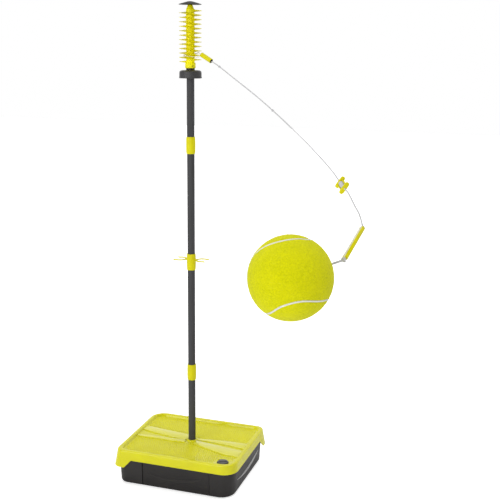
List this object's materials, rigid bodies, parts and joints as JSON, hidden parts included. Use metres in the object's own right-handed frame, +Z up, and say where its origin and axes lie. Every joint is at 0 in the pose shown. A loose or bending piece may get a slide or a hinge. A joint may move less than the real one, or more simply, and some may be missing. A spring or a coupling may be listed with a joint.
{
  "type": "tetherball set",
  "caption": "Free-standing tetherball set: hollow tub base with lid, sectional pole, spiral head with cap, and a felt ball on a cord that orbits the spiral.",
  "frame": {"origin": "Middle of the tub's flat underside, on the axis of the pole.", "axes": "+Z runs up the pole. The tub's long sides face -Y and +Y, and +X is to the right when it is seen from -Y. The ball is out to the front right, towards +X and -Y."},
  "size_m": [1.0688, 1.4795, 1.7402],
  "materials": {
    "yellow_plastic": "gloss",
    "black_plastic": "satin",
    "grey_paint": "satin",
    "cord": "matte",
    "steel": "satin",
    "felt": "matte",
    "rubber": "matte"
  },
  "bodies": {
    "base": {"base_tub": "black_plastic", "pole_socket": "black_plastic", "socket_screw_1": "steel", "socket_screw_2": "steel", "socket_screw_3": "steel", "socket_screw_4": "steel"},
    "lid": {"base_lid": "yellow_plastic", "filler_neck": "black_plastic"},
    "plug": {"filler_plug": "black_plastic", "plug_seal": "rubber"},
    "pole_lower": {"pole_section_1": "grey_paint", "collar_lower": "yellow_plastic"},
    "pole_middle": {"pole_section_2": "grey_paint", "collar_clip": "yellow_plastic", "bat_clip_left": "yellow_plastic", "bat_clip_right": "yellow_plastic"},
    "pole_upper": {"pole_section_3": "grey_paint", "collar_upper": "yellow_plastic"},
    "pole_head": {"pole_section_4": "grey_paint", "guard_flange": "black_plastic", "guard_pin": "steel", "neck_bush": "black_plastic", "helix": "yellow_plastic", "snap_button": "steel", "button_spring": "steel", "top_cap": "black_plastic"},
    "loop": {"wire_loop": "steel", "ferrule": "yellow_plastic", "ferrule_bush": "black_plastic"},
    "tether": {"swivel_bead": "steel", "tether_upper": "cord", "cord_knot_1": "cord", "cord_knot_2": "cord", "adjuster": "yellow_plastic", "cord_winding": "cord", "tether_lower": "cord", "sleeve_knot": "cord"},
    "sleeve": {"tether_sleeve": "yellow_plastic", "inner_cord": "cord", "end_knot": "cord"},
    "ball": {"ball_felt": "felt", "ball_core": "rubber", "ball_grommet": "rubber", "ball_tail": "cord", "ball_stop": "cord"}
  },
  "joints": [
    {"name": "lid_lift", "type": "slide", "parent": "base", "child": "lid", "axis": [0, 0, 1], "range_m": [0, 0.2]},
    {"name": "plug_turn", "type": "hinge", "parent": "lid", "child": "plug", "pos_m": [0.176, -0.146, 0.124], "axis": [0, 0, 1], "range_deg": [0, 90]},
    {"name": "pole_lift", "type": "slide", "parent": "base", "child": "pole_lower", "axis": [0, 0, 1], "range_m": [0, 0.09]},
    {"name": "lower_joint_pull", "type": "slide", "parent": "pole_lower", "child": "pole_middle", "axis": [0, 0, 1], "range_m": [0, 0.028]},
    {"name": "middle_joint_pull", "type": "slide", "parent": "pole_middle", "child": "pole_upper", "axis": [0, 0, 1], "range_m": [0, 0.028]},
    {"name": "upper_joint_pull", "type": "slide", "parent": "pole_upper", "child": "pole_head", "axis": [0, 0, 1], "range_m": [0, 0.028]},
    {"name": "loop_orbit", "type": "hinge", "parent": "pole_head", "child": "loop", "pos_m": [0, 0, 1.5606], "axis": [0, 0, 1], "range_deg": [-80, 80]},
    {"name": "tether_swing", "type": "hinge", "parent": "loop", "child": "tether", "pos_m": [0.0929, -0.031, 1.5385], "axis": [0.8859, 0.4639, 0], "range_deg": [-35, 55], "stiffness_Nm_per_rad": 20, "springref_deg": -11.86},
    {"name": "sleeve_bend", "type": "hinge", "parent": "tether", "child": "sleeve", "pos_m": [0.823, -1.04, 1.205], "axis": [0.5444, 0.4393, -0.7146], "range_deg": [-85, 15]},
    {"name": "ball_pivot", "type": "hinge", "parent": "sleeve", "child": "ball", "pos_m": [0.7966, -1.1087, 1.1426], "axis": [-0.3831, 0.6971, -0.6061], "range_deg": [-75, 40]}
  ]
}
